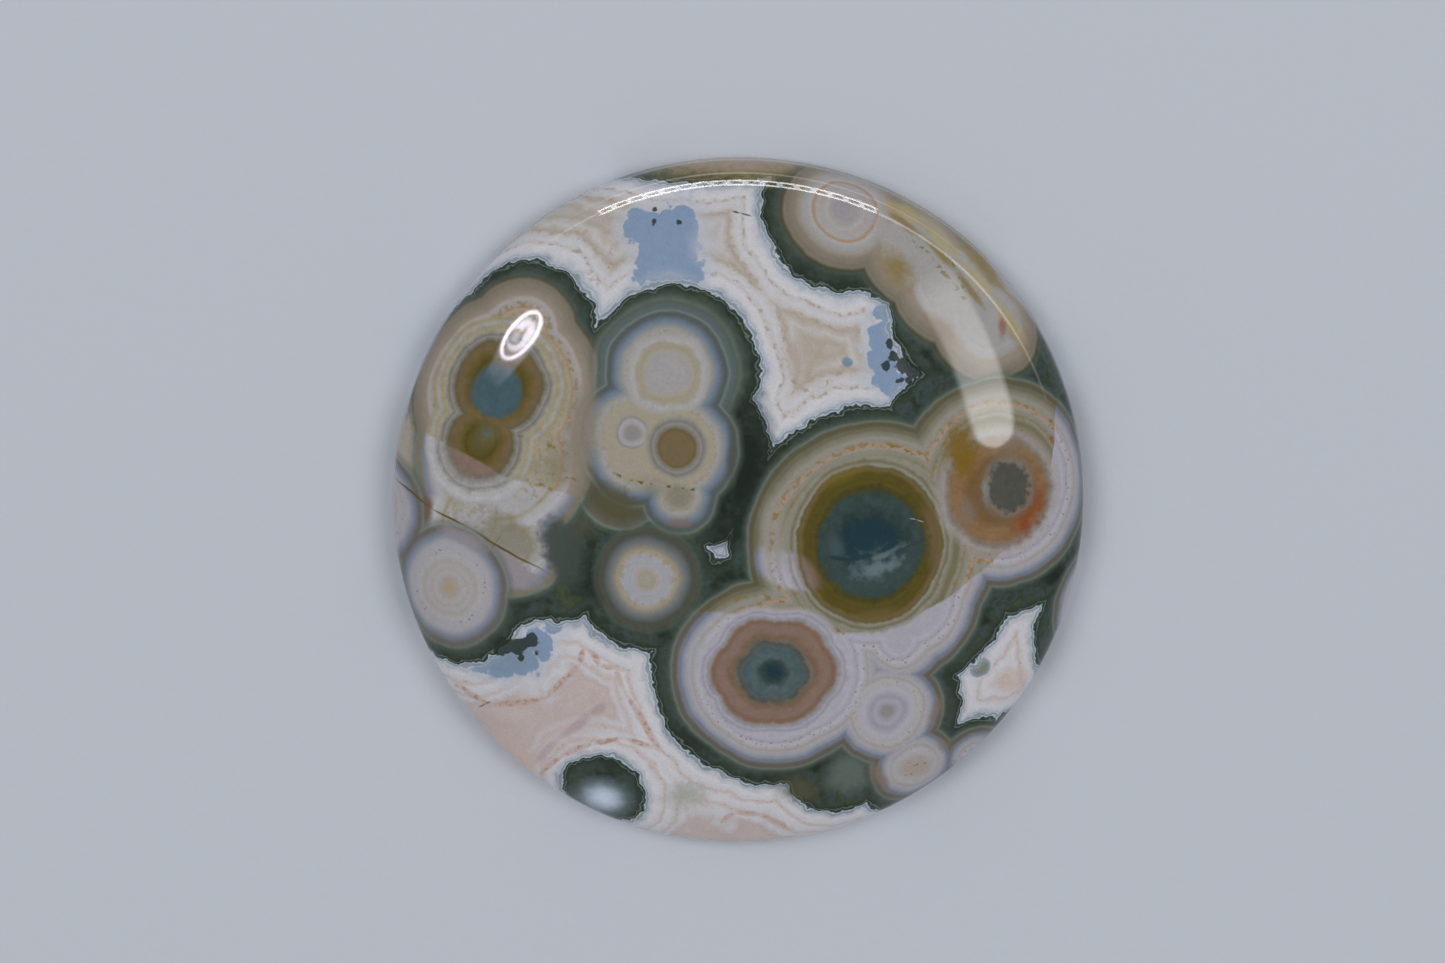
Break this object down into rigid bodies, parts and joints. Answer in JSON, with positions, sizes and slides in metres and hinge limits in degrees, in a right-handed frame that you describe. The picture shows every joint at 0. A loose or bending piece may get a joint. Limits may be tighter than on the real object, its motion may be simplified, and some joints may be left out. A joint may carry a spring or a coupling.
{
  "type": "ocean jasper cabochon",
  "caption": "Round cabochon of orbicular jasper, polished, with a domed face, a short girdle wall and a flat back to rest on or to set in a bezel.",
  "frame": {"origin": "middle of the flat back, in the plane that the stone rests on", "axes": "+Z out of the back through the top of the dome, +Y towards the top of the face as the picture shows it, +X to the right of the face"},
  "size_m": [0.0451, 0.0449, 0.0074],
  "materials": {
    "jasper": "polished to a high gloss on the dome and girdle, satin on the flat back; orbs and bands of white, cream, olive, brown and teal in dark green chalcedony"
  },
  "bodies": {
    "root": {"cabochon": "jasper"}
  },
  "joints": []
}
